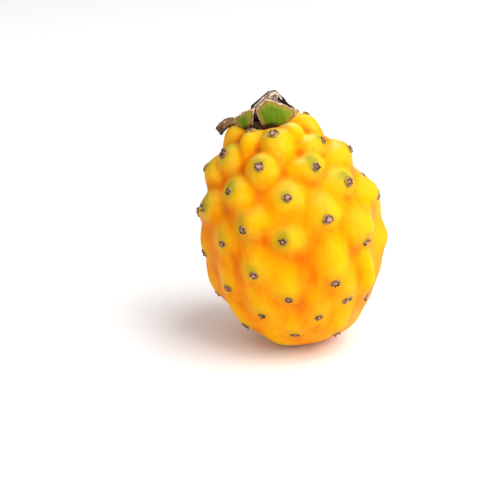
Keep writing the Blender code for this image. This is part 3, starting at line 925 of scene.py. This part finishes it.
def on_tip(across, height):
    """A point on the front of the dried tip, from how far right and up it is in mm."""
    middle, front, half_width, half_depth = tip_at(height * MM)
    aside = min(abs(across * MM - middle) / half_width, 0.97)
    ahead = front + TIP_SEAT * half_depth * math.sqrt(1.0 - aside * aside)
    return (across * MM, -ahead, height * MM)


def make_wisps(material):
    """Thin papery strands over the dried tip and a small knob on it."""
    body = bmesh.new()
    levels, sides = 28, 10
    for number, (places, thick) in enumerate(WISPS):
        line = np.array([on_tip(*place) for place in places])
        at = np.linspace(0.0, 1.0, len(line))
        rings = []
        for level in range(levels + 1):
            share = level / levels
            middle, ahead, behind = (
                Vector(np.interp(place, at, line[:, axis]) for axis in range(3))
                for place in (share, min(share + 0.02, 1.0), max(share - 0.02, 0.0))
            )
            way = (ahead - behind).normalized()
            out = Vector((0.0, -1.0, 0.3)).cross(way).normalized()
            flat = way.cross(out)
            radius = thick * MM * (0.45 + 0.55 * math.sin(math.pi * min(max(share, 0.04), 0.96)))
            ring = []
            for angle in turns(sides):
                spot = Vector((number * 7.0 + share * 9.0, math.cos(angle), math.sin(angle)))
                rough = 1.0 + 0.35 * noise.noise(spot)
                turned = out * math.cos(angle) + flat * (0.45 * math.sin(angle))
                ring.append(body.verts.new(middle + turned * radius * rough))
            rings.append(ring)
        join_rings(body, rings)
        body.faces.new(rings[0][::-1])
        body.faces.new(rings[-1])
    return mesh_object("dry_wisps", body, material)


# Materials.


class Paint(Wiring):
    """A material with one Principled shader, wired by short calls."""

    def __init__(self, name, specular, roughness=None):
        self.material = bpy.data.materials.new(name)
        self.material.use_nodes = True
        super().__init__(self.material.node_tree)
        self.shader = self.tree.nodes["Principled BSDF"]
        self.look({"Specular IOR Level": specular, "Roughness": roughness})
        self.place = self.add("ShaderNodeTexCoord").outputs["Object"]

    def look(self, inputs):
        """Gives inputs of the shader a socket or a value."""
        for label, value in inputs.items():
            self.join(value, self.shader.inputs[label])

    def colour(self, value):
        self.look({"Base Color": value})

    def kept(self, name, output="Fac"):
        return self.add("ShaderNodeAttribute", attribute_name=name).outputs[output]

    def grain(self, scale, detail=3.0, stretch=(1.0, 1.0, 1.0), **shape):
        return self.cloud(self.vector("MULTIPLY", self.place, stretch), scale, detail, **shape)

    def ramp(self, value, *stops):
        node = self.add("ShaderNodeValToRGB", {0: value})
        band = node.color_ramp
        while len(band.elements) < len(stops):
            band.elements.new(0.5)
        for element, (at, colour) in zip(band.elements, stops):
            element.position = at
            element.color = (*colour, 1.0)
        return node.outputs[0]

    def blend(self, share, *colours):
        below, above = ((*colour, 1.0) if isinstance(colour, tuple) else colour for colour in colours)
        return self.add("ShaderNodeMix", {0: share, 6: below, 7: above}, data_type="RGBA").outputs[2]

    def layered(self, colour, *layers):
        """The colour with each layer over it: how much it covers, and its own colour."""
        for share, over in layers:
            colour = self.blend(share, colour, over)
        return colour

    def bump(self, *layers):
        """Each layer: height value and how deep it is in metres."""
        normal = None
        for value, depth in layers:
            inputs = {"Distance": depth, "Height": value, "Normal": normal}
            normal = self.add("ShaderNodeBump", inputs).outputs[0]
        self.look({"Normal": normal})


def waxy_skin():
    """Bright yellow on the tubercles, olive green round the areoles, painted shade in orange in the creases, on
    the undersides and at the left, and a pale painted highlight on what faces the crown.
    """
    p = Paint("waxy_yellow_skin", 0.055)
    level, slope, scar = p.kept("level"), p.kept("slope"), p.kept("scar")
    sideways = p.parts(p.place)[0]
    broad = p.grain(55.0)
    fine = p.grain(420.0, 4.0)
    streak = p.grain(260.0, 3.0, (1.0, 1.0, 0.28))
    bands = p.minus(p.grain(75.0, 2.0, (1.0, 1.0, 0.22)), 0.5)

    # The hue: painted shade, redder, in the creases, on the undersides of the mounds and at the left; redder also
    # low on the body.
    hollow = p.times(p.kept("hollow"), p.spread(level, -0.1, 0.5, 1.2, 0.75))
    # Painted shade: a deeper rust in the deepest creases, strongest at the left.
    deep = p.times(
        p.spread(hollow, 0.4, 1.1, 0.0, 1.1),
        p.spread(level, 0.3, 0.6, 0.2, 1.0),
        p.spread(sideways, -20.0 * MM, 28.0 * MM, 1.25, 0.3),
    )
    mixed = p.plus(
        hollow,
        deep,
        p.swing(broad, 2.1),
        p.spread(level, 0.3, 0.8, 0.2, -0.6),
        # Painted shade: more orange towards the left, yellower towards the right.
        p.spread(sideways, -25.0 * MM, 30.0 * MM, 0.05, -0.5),
        p.swing(streak, 1.7),
        # Painted shade: orange on the undersides of the mounds, which face away from the crown.
        p.spread(slope, -0.42, -0.04, 0.8, 0.0),
        p.times(bands, p.spread(level, -0.5, 0.2, 3.4, 0.6)),
    )
    colour = p.ramp(
        p.spread(mixed, -1.6, 2.2),
        (0.0, (0.91, 0.46, 0.003)),
        (0.30, (0.91, 0.40, 0.001)),
        (0.50, (0.88, 0.30, 0.0006)),
        (0.66, (0.80, 0.20, 0.0004)),
        (0.82, (0.66, 0.125, 0.0003)),
        (1.0, (0.50, 0.08, 0.0002)),
    )

    # A painted highlight, pale, on what faces the crown, and pale mottling.
    crownward = p.plus(slope, p.swing(broad, 0.4), p.times(level, level, 0.45))
    painted_highlight = p.times(
        p.spread(crownward, 0.28, 0.5, 0.0, 0.9),
        p.spread(level, 0.38, 0.8, 0.06, 1.0),
        p.spread(sideways, -25.0 * MM, 8.0 * MM, 0.3, 1.0),
        p.spread(hollow, -0.2, 0.8, 1.0, 0.0),
    )
    pale = p.times(
        p.spread(p.grain(130.0, 5.0, (1.0, 1.0, 0.55), roughness=0.65), 0.5, 0.68, 0.0, 0.5),
        p.spread(level, 0.05, 0.6, 0.25, 1.0),
        p.spread(hollow, -0.1, 0.5, 1.0, 0.15),
    )

    # A wide and a tight olive halo round each areole.
    from_areole = p.plus(p.kept("from_areole"), p.swing(p.grain(240.0, 4.0), 5.0 * MM))
    patchy = p.spread(p.grain(38.0, 2.0), 0.38, 0.58, 0.35, 1.0)
    strength = p.times(patchy, p.spread(level, -0.3, 0.6, 0.35, 1.0))
    wide, tight = (
        p.times(p.spread(from_areole, near * MM, far * MM, share, 0.0, smooth=True), strength)
        for near, far, share in ((1.4, 7.5, 0.8), (0.8, 4.2, 0.7))
    )
    colour = p.layered(
        colour,
        (painted_highlight, (0.90, 0.66, 0.17)),
        (pale, (0.88, 0.57, 0.055)),
        (wide, (0.56, 0.44, 0.02)),
        (tight, (0.24, 0.26, 0.02)),
        (p.spread(fine, 0.58, 0.76, 0.0, 0.35), (0.78, 0.20, 0.001)),
        (p.times(scar, 0.8), (0.30, 0.19, 0.06)),
    )
    uneven = p.plus(fine, p.times(broad, 0.5))
    p.look(
        {
            "Base Color": colour,
            "Specular Tint": (1.0, 0.86, 0.38, 1.0),
            "Roughness": p.spread(uneven, 0.5, 1.0, 0.38, 0.56),
            "Subsurface Weight": 0.04,
            "Subsurface Radius": (1.0, 0.4, 0.05),
            "Subsurface Scale": 1.2 * MM,
        }
    )
    p.bump((fine, 0.16 * MM), (streak, 0.4 * MM), (p.grain(1500.0, 2.0), 0.03 * MM))
    return p.material


def corky_felt():
    """Areole felt: pink in the middle, dark purplish brown round it, olive where it meets the skin."""
    p = Paint("corky_felt", 0.15, 0.9)
    grain = p.grain(1500.0, 4.0)
    middle = p.plus(p.kept("from_middle"), p.swing(p.grain(520.0), 1.5))
    ring = p.ramp(
        middle,
        (0.16, (0.54, 0.30, 0.23)),
        (0.34, (0.36, 0.17, 0.12)),
        (0.50, (0.095, 0.036, 0.028)),
        (0.74, (0.14, 0.06, 0.035)),
        (0.96, (0.40, 0.26, 0.05)),
    )
    p.colour(p.blend(p.spread(grain, 0.52, 0.66, 0.0, 0.55), ring, (0.64, 0.41, 0.31)))
    p.bump((grain, 0.3 * MM))
    return p.material


def green_scale(name, foot_shade_reach, dryness=0.0):
    """Living green in the middle of a scale, a dry cream rim with a red-brown line, and painted shade, dark
    brown, at its foot.
    """
    p = Paint(name, 0.15)
    _, along, edge = p.parts(p.kept("leaf_place", "Vector"))
    broad = p.grain(150.0)
    fine = p.grain(900.0, 4.0)
    vein = p.grain(500.0, 3.0, (1.0, 1.0, 0.2))
    green = p.ramp(
        p.plus(p.times(broad, 0.7), p.times(vein, 0.3)),
        (0.3, (0.07, 0.135, 0.002)),
        (0.5, (0.12, 0.215, 0.004)),
        (0.68, (0.21, 0.26, 0.008)),
    )
    from_edge = p.plus(edge, p.swing(p.grain(330.0, 4.0), 0.16))
    olive = p.times(p.spread(from_edge, 0.08, 0.36, 1.0, 0.0, smooth=True), 0.8)
    red_line = p.spread(from_edge, 0.07, 0.15, 1.0, 0.0, smooth=True)
    upper = p.spread(along, 0.72, 0.96, 0.035, 0.0)
    rim = p.spread(p.plus(from_edge, upper), 0.03, 0.09, 1.0, 0.0, smooth=True)
    cork = p.ramp(fine, (0.35, (0.36, 0.21, 0.09)), (0.6, (0.78, 0.58, 0.36)))
    # Painted shade: near black brown at the foot, where the scale meets the skin.
    foot = p.spread(p.plus(along, p.swing(broad, 0.5)), foot_shade_reach, foot_shade_reach + 0.16, 1.0, 0.0)
    colour = p.layered(
        green,
        (olive, (0.33, 0.27, 0.03)),
        (red_line, (0.28, 0.11, 0.03)),
        (rim, cork),
        (foot, (0.035, 0.018, 0.008)),
    )
    if dryness > 0.0:
        dry = p.ramp(vein, (0.3, (0.05, 0.025, 0.012)), (0.5, (0.20, 0.10, 0.045)), (0.68, (0.42, 0.25, 0.12)))
        colour = p.blend(p.spread(broad, 0.3, 0.5, dryness, 1.0), colour, dry)
    p.look({"Base Color": colour, "Roughness": p.spread(fine, 0.3, 0.7, 0.5, 0.75)})
    p.bump((vein, 0.5 * MM), (fine, 0.2 * MM))
    return p.material


def dry_flap():
    """A withered scale: tan and brown stripes along it, near black at its sides."""
    p = Paint("withered_flap", 0.15, 0.8)
    across, along, edge = p.parts(p.kept("leaf_place", "Vector"))
    stripe = p.cloud(p.together(p.times(across, 0.24), p.times(along, 0.03), 0.0), 60.0, 4.0)
    fine = p.grain(900.0, 4.0)
    colour = p.ramp(
        p.plus(stripe, p.swing(fine, 0.5)),
        (0.34, (0.045, 0.022, 0.018)),
        (0.46, (0.20, 0.10, 0.045)),
        (0.58, (0.36, 0.20, 0.08)),
        (0.72, (0.62, 0.42, 0.24)),
    )
    wander = p.swing(p.grain(330.0, 4.0), 0.14)
    sides = p.spread(p.plus(edge, wander), 0.02, 0.10, 0.85, 0.0, smooth=True)
    p.colour(p.blend(sides, colour, (0.05, 0.026, 0.022)))
    p.bump((stripe, 0.6 * MM), (fine, 0.3 * MM))
    return p.material


def dried_tissue():
    """Dried folds: painted shade, near black, in the creases, near black also at the sides, grey and purplish
    brown between, pale fibres.
    """
    p = Paint("dried_tissue", 0.15, 0.8)
    crease, share, side = p.parts(p.kept("fold_place", "Vector"))
    strand = p.grain(700.0, 4.0, (1.0, 1.0, 0.3), distortion=0.6)
    # Painted shade: darker where the folds crease in.
    mixed = p.plus(p.times(crease, 0.36), p.times(strand, 0.55), p.swing(p.grain(190.0), 0.9))
    mixed = p.minus(mixed, p.spread(side, 0.55, 0.95, -0.2, 0.42))
    colour = p.ramp(
        p.minus(mixed, p.spread(share, 0.2, 0.5, 0.4, 0.0)),
        (0.2, (0.014, 0.008, 0.007)),
        (0.45, (0.085, 0.048, 0.042)),
        (0.66, (0.25, 0.17, 0.14)),
        (0.9, (0.38, 0.27, 0.21)),
    )
    p.colour(colour)
    p.bump((strand, 0.5 * MM), (p.grain(1600.0), 0.2 * MM))
    return p.material


def mottled(name, specular, roughness, grain, depth, *stops):
    """A material of one grain, which gives its tones and its bumps."""
    p = Paint(name, specular, roughness)
    tone = p.grain(*grain)
    p.colour(p.ramp(tone, *stops))
    p.bump((tone, depth))
    return p.material


def stub_brown():
    """Dark woody brown of the cut spines, paler where it is split."""
    tones = ((0.35, (0.020, 0.009, 0.006)), (0.62, (0.085, 0.034, 0.022)), (0.8, (0.30, 0.15, 0.10)))
    return mottled("stub_brown", 0.3, 0.7, (900.0, 3.0), 0.2 * MM, *tones)


def crevice_brown():
    """Dark crumbly tissue between the scales, made near black to stand in for the shade in the crevices as well.
    """
    tones = ((0.35, (0.018, 0.009, 0.004)), (0.65, (0.11, 0.055, 0.025)))
    return mottled("crevice_brown", 0.2, 0.9, (800.0, 4.0), 0.6 * MM, *tones)


def wisp_cream():
    """Pale papery remains, browner in places."""
    p = Paint("wisp_cream", 0.15, 0.8)
    tones = ((0.30, (0.14, 0.08, 0.055)), (0.42, (0.56, 0.38, 0.25)), (0.54, (0.84, 0.70, 0.52)))
    p.colour(p.ramp(p.grain(520.0), *tones))
    p.bump((p.grain(1600.0), 0.3 * MM))
    return p.material


# The scene.


def make_floor():
    """A pale sheet under the fruit."""
    p = Paint("pale_floor", 0.2, 0.8)
    p.colour(p.ramp(p.grain(3.0), (0.0, (0.93, 0.93, 0.93)), (1.0, (0.95, 0.95, 0.95))))
    mesh = bpy.data.meshes.new("floor")
    corners = [(x * FLOOR_HALF, y * FLOOR_HALF, 0.0) for x, y in ((-1, -1), (1, -1), (1, 1), (-1, 1))]
    mesh.from_pydata(corners, [], [(0, 1, 2, 3)])
    mesh.materials.append(p.material)
    placed("floor", mesh)


def make_lights():
    """An even white world and square lights that face the fruit."""
    world = bpy.data.worlds.new("studio")
    world.use_nodes = True
    background = world.node_tree.nodes["Background"]
    background.inputs["Color"].default_value = (1.0, 1.0, 1.0, 1.0)
    background.inputs["Strength"].default_value = WORLD_STRENGTH
    bpy.context.scene.world = world
    centre = fruit_matrix().translation
    for name, (offset, size, watts) in LIGHTS.items():
        light = bpy.data.lights.new(name, "AREA")
        light.energy = watts
        light.size = size
        holder = placed(name, light)
        holder.location = centre + Vector(offset)
        holder.rotation_euler = (-Vector(offset)).to_track_quat("-Z", "Y").to_euler()


def make_camera():
    """Looks a little down on the fruit from its front, with the fruit right of the middle of the picture."""
    focal = LENS / SENSOR * PICTURE_SIDE
    distance = focal / PIXELS_PER_METRE
    ahead = Vector((0.0, math.cos(ELEVATION), -math.sin(ELEVATION)))
    right = Vector((1.0, 0.0, 0.0))
    up = right.cross(ahead)
    aside, below = ((at - PICTURE_SIDE / 2.0) / focal for at in FRUIT_IN_PICTURE)
    to_fruit = ahead + right * aside - up * below
    camera = bpy.data.cameras.new("camera")
    camera.lens = LENS
    camera.clip_start, camera.clip_end = 0.01, 20.0
    holder = placed("camera", camera)
    holder.location = fruit_matrix().translation - to_fruit * distance
    holder.rotation_mode = "QUATERNION"
    holder.rotation_quaternion = ahead.to_track_quat("-Z", "Y")
    bpy.context.scene.camera = holder


def main():
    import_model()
    seats = make_seats()
    skin = grow_skin(waxy_skin(), seats)
    points = areole_points(skin)
    cushions = grown("areole_cushions", cushion_growth(corky_felt()), {"Points": points})
    stubs = grown("spine_stubs", stub_growth(stub_brown()), {"Points": points})
    for helper in (seats, points):
        bpy.data.objects.remove(helper)

    right_scale = make_scales("right_scale", ("front_right",), green_scale("green_scale", 0.12), 0.08, 3.0)
    # The left scale has its painted shade reaching further up from its foot.
    shaded_foot = green_scale("green_scale_dark_foot", 0.26)
    left_scale = make_scales("left_scale", ("front_left",), shaded_foot, 0.08, 13.0)
    flap = make_scales("dry_flap", ("left_flap",), dry_flap(), 0.35, 8.0)
    dry_scale = green_scale("dry_scale", 0.2, 0.6)
    back_scales = make_scales("back_scales", ("back_left", "back_right"), dry_scale, 0.25, 12.0)
    foot = make_disc(crevice_brown())
    tip = make_tip(dried_tissue())
    wisps = make_wisps(wisp_cream())

    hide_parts("fruit_body")
    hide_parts("dried_tip")
    for piece in (right_scale, left_scale, flap, back_scales, foot):
        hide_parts("crown_scales")
    for piece in (skin, cushions, stubs, right_scale, left_scale, flap, back_scales, foot, tip, wisps):
        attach(piece, "root")

    make_floor()
    make_lights()
    make_camera()
    bpy.context.scene.view_settings.view_transform = "Standard"


main()
